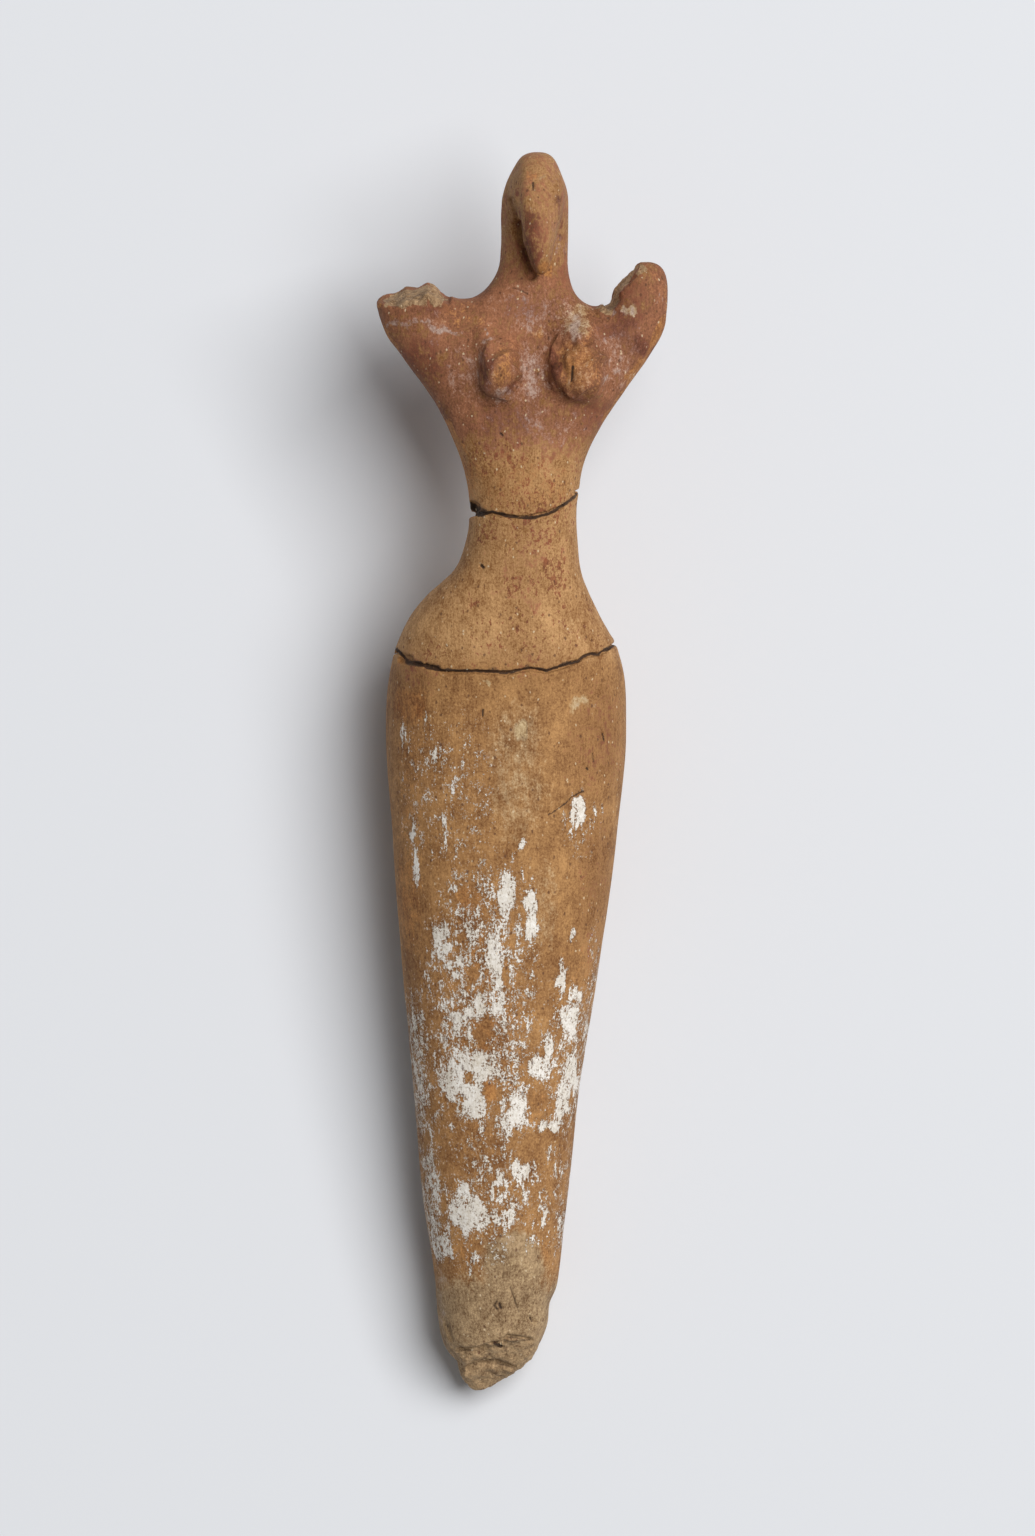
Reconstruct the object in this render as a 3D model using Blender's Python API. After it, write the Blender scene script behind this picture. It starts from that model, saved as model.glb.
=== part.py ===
"""Female figure of hand-modelled fired clay, lying on its back, face up, with the head towards +Y.

The clay was modelled and fired in one. It broke at the waist and at the hips and was mended, both arms are
lost above the shoulder, and the foot is broken off. All outlines are in thousandths of the figure's length:
s runs down from the crown, x to the right as the front is looked at, and z up from the surface it lies on.
"""

import math

import bmesh
import bpy
import numpy as np
from mathutils import Vector, noise

# Driving dimensions, in metres
FIGURE_LENGTH = 0.300  # crown of the head to the broken foot
SEAM_GAP = 0.0009  # width of a mended break where it shows at the surface
SEAM_DEPTH = 0.0026  # how deep the open line of a mended break runs in
REST_FLAT_DEPTH = 0.0005  # how much is worn flat off the swellings that the figure lies on

UNIT = FIGURE_LENGTH / 1000
CLAY_GRAIN = 3.2 * UNIT  # size of the cells that fuse the lumps of clay into one body
FUSING_PASSES = 9  # how often the fused surface is rubbed smooth
FUSED_TRIANGLES = 6200  # what the fused body's shape needs
RING_POINTS = 96  # round each cross-section before the clay is fused
RING_STEP = 4.0  # between cross-sections, in thousandths
ABOVE_ALL, BELOW_ALL = 200.0, -10.0  # heights clear above and below the figure
ARM_MIDDLE = 80.0  # height of the arms' middle

# The figure lies on its buttocks and its foot, which lifts the upper body clear: below the crown, lift
LIFT = (
    (0, 73), (118, 68), (201, 64), (278, 57), (336, 42), (375, 26), (413, 10), (440, 2), (460, 0), (500, 0),
)
# Each row is a cross-section: below the crown, left, right, back, front, squareness (2 is an ellipse)
BODY = (
    (118, -60, 46, 78, 92, 2.0),
    (124, -88, 56, 70, 101, 2.3),
    (129, -105, 84, 66, 105, 2.5),
    (134, -111, 113, 64, 108, 2.6),
    (143, -112, 114, 60, 112, 2.8),
    (162, -99, 104, 56, 116, 2.8),
    (201, -71, 76, 52, 117, 2.6),
    (239, -53, 54, 48, 118, 2.4),
    (278, -43, 45, 46, 120, 2.2),
    (317, -47, 45, 42, 123, 2.2),
    (336, -55, 47, 37, 126, 2.2),
    (355, -76, 54, 30, 131, 2.1),
    (375, -92, 64, 22, 138, 2.1),
    (394, -101, 75, 16, 145, 2.1),
    (413, -106, 81, 11, 150, 2.1),
    (465, -110, 84, 6, 155, 2.1),
    (562, -104, 75, 9, 149, 2.1),
    (658, -97, 62, 11, 135, 2.1),
    (755, -88, 46, 8, 118, 2.1),
    (852, -79, 36, 1, 100, 2.1),
    (900, -72, 30, -4, 91, 2.1),
    (918, -70, 27, -6, 87, 2.2),
    (928, -70, 21, -6, 84, 2.2),
    (940, -68, 22, -6, 81, 2.2),
    (952, -67, 18, -3, 77, 2.2),
    (961, -64, 14, 0, 73, 2.2),
    (971, -55, 9, 4, 66, 2.2),
    (981, -52, -1, 8, 56, 2.1),
    (990, -48, -15, 12, 45, 2.0),
    (1000, -38, -32, 20, 28, 2.0),
)
HEAD_AND_NECK = (
    (0, 8, 17, 86, 96, 2.0),
    (2.5, 0, 23, 77, 106, 2.0),
    (7.5, -4, 27, 69, 113, 2.0),
    (17, -10, 31, 62, 118, 2.1),
    (36, -17, 37.5, 57, 118, 2.1),
    (46, -18, 37.5, 57, 114, 2.2),
    (75, -18, 37, 59, 104, 2.2),
    (99, -22, 38, 60, 104, 2.2),
    (118, -40, 46, 60, 108, 2.3),
    (127, -58, 56, 60, 110, 2.4),
    (145, -64, 62, 61, 110, 2.5),
    (175, -50, 50, 66, 104, 2.5),
)
BEAKED_FACE = (
    (6, 0, 22, 85, 110, 2.0),
    (14, -6, 29, 82, 121, 2.0),
    (25, -12, 34, 80, 129, 2.0),
    (38, -14, 34, 84, 135, 2.0),
    (62, -4.5, 29, 92, 140, 1.9),
    (86, 5, 24.5, 103, 139, 1.9),
    (96, 7.5, 22.5, 108, 135, 1.9),
    (102, 12, 19, 116, 128, 2.0),
)
LEFT_ARM = (
    (178, -84, -36, 68, 102, 2.2),
    (143, -111, -42, 60, 111, 2.2),
    (127, -117, -45, 62, 108, 2.2),
    (114, -118, -60, 65, 105, 2.2),
    (98, -116, -72, 67, 103, 2.2),
    (90, -115, -74, 68, 102, 2.2),
)
RIGHT_ARM = (
    (180, 42, 86, 68, 102, 2.2),
    (150, 50, 111, 60, 111, 2.2),
    (138, 56, 115, 61, 109, 2.2),
    (118, 66, 118, 64, 106, 2.2),
    (101, 77, 117, 68, 102, 2.2),
    (93, 86, 114, 73, 97, 2.1),
    (87.5, 94, 108, 80, 90, 2.0),
)
LEFT_BREAST = (
    (148, -28, -14, 106, 117, 2.0),
    (158, -31, -8, 104, 124, 2.0),
    (178, -33, -3, 104, 134, 2.1),
    (188, -32, -4, 104, 134, 2.1),
    (197, -25, -12, 110, 123, 2.0),
)
RIGHT_BREAST = (
    (143, 37, 53, 106, 117, 2.0),
    (154, 29, 60, 104, 125, 2.0),
    (177, 25, 63, 104, 137, 2.1),
    (188, 27, 61, 104, 137, 2.1),
    (198, 37, 52, 110, 125, 2.0),
)
# Each buttock: middle across, below the crown and up, then the half-sizes the same ways
BUTTOCKS = (
    (-50, 465, 68, 57, 118, 74),
    (24, 465, 68, 57, 118, 74),
)

# The course of each mended break as it shows on the front, from edge to edge: across, below the crown
WAIST_SEAM = (
    (-56, 291), (-36, 291.5), (-24, 289.5), (-8, 293), (6, 294), (21, 290.5), (34, 283), (46, 272), (56, 266),
)
HIP_SEAM = (
    (-116, 386), (-99, 402), (-90, 411), (-65, 417), (-38, 417), (-12, 418.5), (6, 415), (19, 417), (44, 409),
    (51, 404.5), (62, 403), (76, 395.5), (88, 388),
)
# The wedge lost from the waist's mended break at its left edge, right through the body
WAIST_WEDGE = ((-60, 286), (-60, 297), (-46, 294.8), (-33, 291.6), (-33, 290.4), (-46, 288.2))
# Chips beside the mended breaks: middle across, below the crown and up, then the half-sizes the same ways
WAIST_CHIP = (-41, 286.5, 93, 12, 6.5, 20)
HIP_CHIP = (-93, 408, 112, 9, 4, 14)
CHIP_RAGGEDNESS = 0.5  # how uneven a chip's hollow is, as a share of its size
CHIP_WAVES = 2.3
SEAM_LEVELS = 8  # heights at which a mended break's course is worked out
SEAM_FLANK = 0.2  # keeps a mended break from turning too steeply where the body's sides are upright
SEAM_CORE_REACH = 60  # how far the whole core reaches past a mended break, both ways
SEAM_CORE_STEP = 10
# The ragged broken edges of the arms, seen from the front, and what the breaks took away beyond them
LEFT_ARM_BREAK = (
    (-128, 125), (-119, 122), (-115, 118.5), (-109, 117), (-103, 118), (-99, 116.5), (-94, 112), (-84, 113),
    (-76, 107), (-71, 109), (-66, 114.5), (-58, 118), (-50, 80), (-128, 80),
)
RIGHT_ARM_BREAK = ((62, 127), (70, 123), (73.5, 118), (74, 111), (85, 100), (89, 95), (93, 86), (62, 86))
# How far each break leans across and down for every step up, so that its face is seen from the front
LEFT_ARM_LEAN = (0.0, 0.3)
RIGHT_ARM_LEAN = (0.25, 0.1)
# Where the front of the foot has split away in layers: across, below the crown
FIRST_LEDGE = ((-80, 962), (-62, 963), (-36, 963), (-22, 959), (6, 954), (34, 952))
SECOND_LEDGE = ((-80, 980), (-52, 980), (-34, 975), (-14, 975), (6, 984), (34, 990))
LEDGE_HEIGHTS = (66.0, 50.0)  # height of each layer's face where it starts
LEDGE_FALL = 0.9  # how steeply the faces fall towards the tip
LEDGE_RAGGEDNESS = 3.0
LEDGE_WAVE = (12, 12, 30)  # size of the raggedness: across, along and up
LEDGE_LEFT, LEDGE_RIGHT, LEDGE_TOP, LEDGE_TIP = -78, 32, 944, 1006  # the stretch that the split covers
LEDGE_COLUMNS, LEDGE_ROWS = 20, 14
LEDGE_CLEAR = 140.0  # a height clear above the foot, where nothing split away

CLAY_COLOUR = (0.48, 0.24, 0.11, 1.0)
CLAY_ROUGHNESS = 0.85


def clear_scene():
    for thing in list(bpy.data.objects):
        bpy.data.objects.remove(thing)


def point(x, s, z):
    """A place on the figure, from thousandths of its length to metres, with the lift of the upper body."""
    lift = section_at(LIFT, s)[0][1]
    return Vector((x * UNIT, (500 - s) * UNIT, (z + lift) * UNIT))


def section_at(rows, s):
    """The rows' values at s, each on a smooth curve through the rows."""
    table = np.array(rows, float)
    known = table[:, 0]
    slopes = np.gradient(table, known, axis=0)
    s = np.clip(np.atleast_1d(s), known[0], known[-1])
    low = np.clip(np.searchsorted(known, s, side="right") - 1, 0, len(known) - 2)
    span = (known[low + 1] - known[low])[:, None]
    t = (s - known[low])[:, None] / span
    return (
        (2 * t**3 - 3 * t**2 + 1) * table[low]
        + (t**3 - 2 * t**2 + t) * span * slopes[low]
        + (3 * t**2 - 2 * t**3) * table[low + 1]
        + (t**3 - t**2) * span * slopes[low + 1]
    )


def round_part(angle, squareness):
    """Cosine and sine drawn out towards a rounded square as squareness grows past 2."""
    c, n = math.cos(angle), math.sin(angle)
    power = 2 / squareness
    return math.copysign(abs(c) ** power, c), math.copysign(abs(n) ** power, n)


def add_limb(shape, rows, inset=0.0):
    """Adds one closed limb to a bmesh: rings across the figure, through the rows, thinned by inset."""
    first, last = rows[0][0], rows[-1][0]
    count = max(4, round(abs(last - first) / RING_STEP))
    low, high = min(first, last), max(first, last)
    stations = sorted(set(np.linspace(low, high, count)) | {row[0] for row in rows})
    rings = []
    for _, left, right, back, front, squareness in section_at(sorted(rows), stations):
        s = stations[len(rings)]
        middle_x, middle_z = (left + right) / 2, (back + front) / 2
        half_x, half_z = (right - left) / 2 - inset, (front - back) / 2 - inset
        ring = []
        for step in range(RING_POINTS):
            c, n = round_part(2 * math.pi * step / RING_POINTS, squareness)
            ring.append(shape.verts.new(point(middle_x + half_x * c, s, middle_z + half_z * n)))
        rings.append(ring)
    for upper, lower in zip(rings, rings[1:]):
        for k in range(RING_POINTS):
            j = (k + 1) % RING_POINTS
            shape.faces.new((upper[k], upper[j], lower[j], lower[k]))
    shape.faces.new(rings[0][::-1])
    shape.faces.new(rings[-1])


def add_lump(shape, lump, subdivisions=4, roughness=0.0):
    """Adds one rounded lump of clay, or the hollow that a chip leaves."""
    x, s, z, half_x, half_s, half_z = lump
    ball = bmesh.ops.create_icosphere(shape, subdivisions=subdivisions, radius=1.0)
    for vert in ball["verts"]:
        swell = 1 + roughness * noise.noise(vert.co * CHIP_WAVES)
        vert.co = point(
            x + half_x * vert.co.x * swell,
            s - half_s * vert.co.y * swell,
            z + half_z * vert.co.z * swell,
        )


def object_from(shape, name):
    """Closes a bmesh into a named object whose faces point outwards."""
    bmesh.ops.recalc_face_normals(shape, faces=shape.faces)
    mesh = bpy.data.meshes.new(name)
    shape.to_mesh(mesh)
    shape.free()
    made = bpy.data.objects.new(name, mesh)
    bpy.context.scene.collection.objects.link(made)
    return made


def as_cutter(made):
    made.hide_render = True
    made.display_type = "WIRE"
    return made


def prism_cutter(name, outline, lean=(0.0, 0.0)):
    """A cutter with this outline across the middle of the arms, leaning across and down as it rises."""
    shape = bmesh.new()
    floor, lid = (
        [
            shape.verts.new(point(x + lean[0] * (z - ARM_MIDDLE), s + lean[1] * (z - ARM_MIDDLE), z))
            for x, s in outline
        ]
        for z in (BELOW_ALL, ABOVE_ALL)
    )
    shape.faces.new(floor)
    shape.faces.new(lid[::-1])
    for k in range(len(outline)):
        j = (k + 1) % len(outline)
        shape.faces.new((floor[k], floor[j], lid[j], lid[k]))
    return as_cutter(object_from(shape, name))


def chip_cutter(name, chip):
    shape = bmesh.new()
    add_lump(shape, chip, subdivisions=2, roughness=CHIP_RAGGEDNESS)
    return as_cutter(object_from(shape, name))


def seam_station(course, x, z):
    """How far below the crown the break runs at x and z: the front's course, turned over for the back."""
    ends = np.array((course[1], course[-2]), float)
    seen_x, seen_s = np.array(course, float).T
    flank = np.interp(x, ends[:, 0], ends[:, 1])
    _, left, right, back, front, squareness = section_at(BODY, ends[:, 1].mean())[0]
    half_x, half_z = (right - left) / 2, (front - back) / 2
    across = min(abs(x - (left + right) / 2) / half_x, 1.0)
    rise = half_z * max(1 - across**squareness, SEAM_FLANK) ** (1 / squareness)
    share = max(-1.0, min(1.0, (z - (back + front) / 2) / rise))
    return flank + (float(np.interp(x, seen_x, seen_s)) - flank) * share


def seam_cutter(name, course):
    """The open line of a mended break: a thin ragged sheet right across the body, without its core."""
    levels = np.linspace(BELOW_ALL, ABOVE_ALL, SEAM_LEVELS)
    half_gap = SEAM_GAP / UNIT / 2
    shape = bmesh.new()
    rings = []
    for x, _ in course:
        line = [(seam_station(course, x, z), z) for z in levels]
        sides = [[shape.verts.new(point(x, s + gap, z)) for s, z in line] for gap in (-half_gap, half_gap)]
        rings.append(sides[0] + sides[1][::-1])
    for near, far in zip(rings, rings[1:]):
        for k in range(len(near)):
            j = (k + 1) % len(near)
            # Both sides of the sheet are split along the same diagonal, so that they never cross
            if k < SEAM_LEVELS:
                shape.faces.new((near[k], far[k], far[j]))
                shape.faces.new((near[k], far[j], near[j]))
            else:
                shape.faces.new((near[k], far[k], near[j]))
                shape.faces.new((far[k], far[j], near[j]))
    shape.faces.new(rings[0][::-1])
    shape.faces.new(rings[-1])
    sheet = as_cutter(object_from(shape, name))

    middle = np.mean([s for _, s in course])
    steps = np.arange(-SEAM_CORE_REACH, SEAM_CORE_REACH + 1, SEAM_CORE_STEP)
    core_shape = bmesh.new()
    add_limb(core_shape, [tuple(row) for row in section_at(BODY, middle + steps)], inset=SEAM_DEPTH / UNIT)
    core = as_cutter(object_from(core_shape, name + "_core"))
    cut(sheet, core, "Core stays whole")
    return sheet


def ledge_cutter(name):
    """What split away from the front of the foot: a block whose ragged underside steps down in two layers."""
    xs = np.linspace(LEDGE_LEFT, LEDGE_RIGHT, LEDGE_COLUMNS)
    ss = np.linspace(LEDGE_TOP, LEDGE_TIP, LEDGE_ROWS)
    ledges = [np.array(ledge, float).T for ledge in (FIRST_LEDGE, SECOND_LEDGE)]
    shape = bmesh.new()
    floor = []
    for x in xs:
        line = []
        starts = [np.interp(x, *ledge) for ledge in ledges]
        for s in ss:
            height = LEDGE_CLEAR
            for start, face in zip(starts, LEDGE_HEIGHTS):
                if s > start:
                    height = face - LEDGE_FALL * (s - start)
            place = [value / wave for value, wave in zip((x, s, height), LEDGE_WAVE)]
            ragged = LEDGE_RAGGEDNESS * noise.noise(Vector(place))
            line.append(shape.verts.new(point(x, s, height + ragged)))
        floor.append(line)
    corners = [floor[0][0], floor[-1][0], floor[-1][-1], floor[0][-1]]
    lid = [shape.verts.new(Vector((corner.co.x, corner.co.y, ABOVE_ALL * UNIT))) for corner in corners]
    for near, far in zip(floor, floor[1:]):
        for k in range(LEDGE_ROWS - 1):
            shape.faces.new((near[k], far[k], far[k + 1], near[k + 1]))
    edges = (
        [line[0] for line in floor],
        floor[-1],
        [line[-1] for line in reversed(floor)],
        floor[0][::-1],
    )
    for k, edge in enumerate(edges):
        shape.faces.new([*edge, lid[(k + 1) % 4], lid[k]])
    shape.faces.new(lid)
    return as_cutter(object_from(shape, name))


def cut(body, cutter, name):
    boolean = body.modifiers.new(name, "BOOLEAN")
    boolean.operation = "DIFFERENCE"
    boolean.solver = "EXACT"
    boolean.object = cutter


def evaluated_mesh(made):
    """An object's mesh as its modifiers leave it."""
    return made.evaluated_get(bpy.context.evaluated_depsgraph_get()).to_mesh()


def faces_of(made):
    return len(evaluated_mesh(made).polygons)


def corners_of(made):
    """Lowest and highest corner of an object, in metres."""
    places = np.array([made.matrix_world @ v.co for v in evaluated_mesh(made).vertices])
    return places.min(axis=0), places.max(axis=0)


def clay():
    """Fired Nile clay: matt, warm brown, no gloss."""
    material = bpy.data.materials.new("fired_clay")
    material.use_nodes = True
    shader = material.node_tree.nodes["Principled BSDF"]
    shader.inputs["Base Color"].default_value = CLAY_COLOUR
    shader.inputs["Roughness"].default_value = CLAY_ROUGHNESS
    shader.inputs["Metallic"].default_value = 0.0
    return material


def fused_figure():
    """The limbs and lumps of clay, pressed together into one body and rubbed smooth."""
    shape = bmesh.new()
    for rows in (BODY, HEAD_AND_NECK, BEAKED_FACE, LEFT_ARM, RIGHT_ARM, LEFT_BREAST, RIGHT_BREAST):
        add_limb(shape, rows)
    for buttock in BUTTOCKS:
        add_lump(shape, buttock)
    figure = object_from(shape, "female_figure")
    fuse = figure.modifiers.new("Fuse the clay", "REMESH")
    fuse.mode = "VOXEL"
    fuse.voxel_size = CLAY_GRAIN
    rub = figure.modifiers.new("Rub smooth", "SMOOTH")
    rub.factor = 0.5
    rub.iterations = FUSING_PASSES
    thin = figure.modifiers.new("Fewer faces", "DECIMATE")
    thin.ratio = min(1.0, FUSED_TRIANGLES / (2 * faces_of(figure)))
    return figure


def rest_flat(figure):
    """Wears the lowest swellings flat, so that the figure lies still, and puts that level at height 0."""
    low, high = corners_of(figure)
    level = low[2] + REST_FLAT_DEPTH
    middle, size = (low + high) / 2, (high - low) * 2
    shape = bmesh.new()
    box = bmesh.ops.create_cube(shape, size=1.0)
    for vert in box["verts"]:
        top = vert.co.z > 0
        vert.co = Vector((
            middle[0] + vert.co.x * size[0],
            middle[1] + vert.co.y * size[1],
            level if top else level - size[2],
        ))
    cut(figure, as_cutter(object_from(shape, "worn_flat")), "Worn flat")
    return Vector((middle[0], middle[1], level))


def main():
    clear_scene()
    figure = fused_figure()
    figure.data.materials.append(clay())
    cutters = (
        ("left_arm_break", prism_cutter("left_arm_break", LEFT_ARM_BREAK, LEFT_ARM_LEAN)),
        ("right_arm_break", prism_cutter("right_arm_break", RIGHT_ARM_BREAK, RIGHT_ARM_LEAN)),
        ("foot_ledges", ledge_cutter("foot_ledges")),
        ("waist_wedge", prism_cutter("waist_wedge", WAIST_WEDGE)),
        ("waist_chip", chip_cutter("waist_chip", WAIST_CHIP)),
        ("hip_chip", chip_cutter("hip_chip", HIP_CHIP)),
        ("waist_seam", seam_cutter("waist_seam", WAIST_SEAM)),
        ("hip_seam", seam_cutter("hip_seam", HIP_SEAM)),
    )
    for name, cutter in cutters:
        cut(figure, cutter, name)
    middle = rest_flat(figure)
    # Everything hangs from one empty, which brings the middle of the underside to the origin
    holder = bpy.data.objects.new("underside_middle", None)
    bpy.context.scene.collection.objects.link(holder)
    holder.location = -middle
    for thing in bpy.data.objects:
        if thing is not holder:
            thing.parent = holder


main()
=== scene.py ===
# A mended clay figure with a beak face, lying on its back on a pale sheet and seen from straight above
import math

import bmesh
import bpy
import numpy as np
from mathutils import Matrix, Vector, noise


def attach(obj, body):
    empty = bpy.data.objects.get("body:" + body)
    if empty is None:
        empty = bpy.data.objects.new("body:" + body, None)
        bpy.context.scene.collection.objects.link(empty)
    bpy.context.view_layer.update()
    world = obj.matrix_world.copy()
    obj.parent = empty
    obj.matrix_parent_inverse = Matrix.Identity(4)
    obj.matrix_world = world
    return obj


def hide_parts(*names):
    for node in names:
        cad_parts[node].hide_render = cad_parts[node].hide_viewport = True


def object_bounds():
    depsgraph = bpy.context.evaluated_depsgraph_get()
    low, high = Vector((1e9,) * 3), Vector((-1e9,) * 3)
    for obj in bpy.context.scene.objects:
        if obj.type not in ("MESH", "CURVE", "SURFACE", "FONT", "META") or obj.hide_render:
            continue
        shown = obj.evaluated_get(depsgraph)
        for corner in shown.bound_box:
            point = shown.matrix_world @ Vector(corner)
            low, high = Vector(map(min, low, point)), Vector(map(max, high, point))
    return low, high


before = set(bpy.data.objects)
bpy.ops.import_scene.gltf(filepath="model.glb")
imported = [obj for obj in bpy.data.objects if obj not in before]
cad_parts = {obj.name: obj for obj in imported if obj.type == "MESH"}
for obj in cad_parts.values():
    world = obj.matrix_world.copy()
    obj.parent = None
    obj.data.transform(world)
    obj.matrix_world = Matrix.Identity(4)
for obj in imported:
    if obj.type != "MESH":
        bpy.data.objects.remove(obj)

cadLow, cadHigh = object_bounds()
mm = 0.001

# The picture. Places on the figure are read off the photograph, in its own pixels
picture = {
    "size": (1035, 1536),
    "pixel": 0.24174 * mm,       # what a pixel covers at the height of the outline
    "origin": (522.5, 773.5),    # the pixel above the origin
    "outlineHeight": 30 * mm,
    "lens": 600,                 # long, so that the view is nearly flat
    "sensor": 36,
}
cameraPlace = Vector((
    (picture["size"][0] / 2 - picture["origin"][0]) * picture["pixel"],
    (picture["origin"][1] - picture["size"][1] / 2) * picture["pixel"],
    picture["outlineHeight"] + picture["size"][1] * picture["pixel"] * picture["lens"] / picture["sensor"],
))


def linear(hexColour):
    values = [int(hexColour[i:i + 2], 16) / 255 for i in (1, 3, 5)]
    return tuple(v / 12.92 if v <= 0.04045 else ((v + 0.055) / 1.055) ** 2.4 for v in values) + (1.0,)


def softStep(low, high, values):
    t = np.clip((values - low) / (high - low), 0, 1)
    return t * t * (3 - 2 * t)


# Where each point of a mesh lies in the picture, seen through the camera
def toPixels(points):
    reach = (cameraPlace.z - picture["outlineHeight"]) / (cameraPlace.z - points[:, 2]) / picture["pixel"]
    across = picture["size"][0] / 2 + (points[:, 0] - cameraPlace.x) * reach
    down = picture["size"][1] / 2 - (points[:, 1] - cameraPlace.y) * reach
    return np.stack([across, down], axis=1)


spotRoundness = 2.6     # 2 makes the marks' spots ellipses, and more makes them squarer


# How strongly each pixel place lies in the spots: left, right, top, bottom, strength and a turn in degrees.
# The strength fades out over the edge, as a share of the spot's half size, on both sides of its outline
def inSpots(pixels, spots, edge=0.5):
    found = np.zeros(len(pixels))
    for left, right, top, bottom, strength, *turn in spots:
        angle = math.radians(turn[0]) if turn else 0.0
        offset = pixels - ((left + right) / 2, (top + bottom) / 2)
        across = offset[:, 0] * math.cos(angle) + offset[:, 1] * math.sin(angle)
        down = offset[:, 1] * math.cos(angle) - offset[:, 0] * math.sin(angle)
        across, down = np.abs(across) * 2 / (right - left), np.abs(down) * 2 / (bottom - top)
        far = (across ** spotRoundness + down ** spotRoundness) ** (1 / spotRoundness)
        found = np.maximum(found, strength * softStep(1 + edge, 1 - edge, far))
    return found


# How strongly each pixel place lies on the lines: half width, strength, then the points. The strength fades
# out from half to one and a half of the half width
def onLines(pixels, lines):
    found = np.zeros(len(pixels))
    for halfWidth, strength, *course in lines:
        nearest = np.full(len(pixels), 1e9)
        for start, end in zip(course, course[1:]):
            start, run = np.array(start, float), np.subtract(end, start).astype(float)
            along = np.clip(((pixels - start) @ run) / max(run @ run, 1e-9), 0, 1)
            nearest = np.minimum(nearest, np.linalg.norm(pixels - start - along[:, None] * run, axis=1))
        found = np.maximum(found, strength * softStep(1.5, 0.5, nearest / halfWidth))
    return found


# Smooth random values, about -1 to 1, for each point: size in metres across, along and up
def unevenness(points, size, seed, octaves=1):
    scaled = points / np.array(size) + seed * 17.31
    if octaves == 1:
        return np.array([noise.noise(Vector(p)) for p in scaled])
    return np.array([noise.fractal(Vector(p), 1.0, 2.0, octaves) for p in scaled])


# The clay body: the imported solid's own form, smoothed where it is faceted and left sharp where it is broken
body = {
    "voxel": 0.34 * mm,
    "faces": 196000,           # in the end, under the limit of a piece
    "mergeDistance": 0.002 * mm,
    "coreVoxel": 1.5 * mm,     # closes the two mended breaks
    "coreInset": 1.0 * mm,     # how deep they still show
    "facetSmoothing": 60,
    "sharpTurn": 24,           # degrees between neighbouring normals, past which an edge is a break
    "sharpSpread": 3,          # rings of points kept still round a break
    "sharpFade": 4,
    "facing": (-0.15, 0.25),   # the normal's share upwards, from turned away to seen
    "broadFacing": (-0.1, 0.3, 25),     # the same with spread normals, so that a break's walls count too
    "handWave": (0.16 * mm, (16 * mm, 20 * mm, 16 * mm)),
    "fingerWave": (0.07 * mm, (6 * mm, 8 * mm, 6 * mm)),
    "toolStroke": (0.06 * mm, (2.2 * mm, 26 * mm, 2.2 * mm)),
    "brokenClay": (0.6 * mm, (3.4 * mm, 3 * mm, 3 * mm)),
    "pinchedLump": (1.4 * mm, (3.6 * mm, 4.6 * mm, 5 * mm)),
    "crackDepth": 0.4 * mm,
    # spots in pixels, as the marks further down: clay drawn out beside and on the breasts
    "fills": [
        (580, 622, 336, 394, .8), (489, 514, 347, 394, 1), (476, 492, 328, 350, .8),
        (486, 518, 391, 406, .6), (586, 612, 382, 404, .8), (552, 598, 322, 342, .7),
    ],
    "fillHeight": 1.4 * mm,
    "hollows": [(498, 520, 166, 240, 1)],     # left of the face's ridge
    "hollowDepth": 1.3 * mm,
    "lumps": [(482, 520, 342, 397, 1), (550, 603, 334, 399, 1)],     # the breasts, pinched out of the clay
    # carved into the front, in pixels: half width, strength, points, and the depth of strength 1
    "grooves": [
        (2.6, .5, (506, 200), (514, 224)), (4.5, 1, (514, 226), (524, 252), (531, 275)),
        (2.6, .5, (459, 1350), (478, 1351), (484, 1347), (500, 1344), (508, 1337), (530, 1340)),
        (3, .45, (463, 1370), (479, 1364), (497, 1363), (514, 1368)), (3, .6, (492, 1345), (501, 1347)),
        (2, .3, (436, 1300), (452, 1340)), (2.4, .35, (530, 1318), (534, 1322)),
    ],
    "grooveDepth": 1.6 * mm,
    # the mended breaks' lines on the front, which move down to where the photograph shows them
    "movedSeams": [
        (12, 1, (500, 512), (523, 514), (540, 511.5), (552, 508), (580, 488)),
        (12, 1, (455, 667), (505, 667.7), (530, 666), (546, 667), (577, 657), (617, 641)),
    ],
    "seamMove": 0.62 * mm,
}


def meshArrays(mesh):
    points = np.empty(len(mesh.vertices) * 3)
    mesh.vertices.foreach_get("co", points)
    normals = np.empty(len(mesh.vertices) * 3, np.float32)
    mesh.vertices.foreach_get("normal", normals)
    return points.reshape(-1, 3), normals.reshape(-1, 3).astype(float)


def edgeEnds(mesh):
    ends = np.empty(len(mesh.edges) * 2, np.int32)
    mesh.edges.foreach_get("vertices", ends)
    return ends.reshape(-1, 2)


def applyModifiers(piece):
    bpy.context.view_layer.update()
    made = bpy.data.meshes.new_from_object(piece.evaluated_get(bpy.context.evaluated_depsgraph_get()))
    piece.modifiers.clear()
    piece.data = made


# Takes the mean of each point's neighbours, so many times
def spread(values, ends, times):
    count = np.maximum(np.bincount(ends.ravel(), minlength=len(values)), 1)
    for _ in range(times):
        total = np.bincount(ends[:, 0], values[ends[:, 1]], len(values))
        total += np.bincount(ends[:, 1], values[ends[:, 0]], len(values))
        values = 0.5 * values + 0.5 * total / count
    return values


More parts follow.
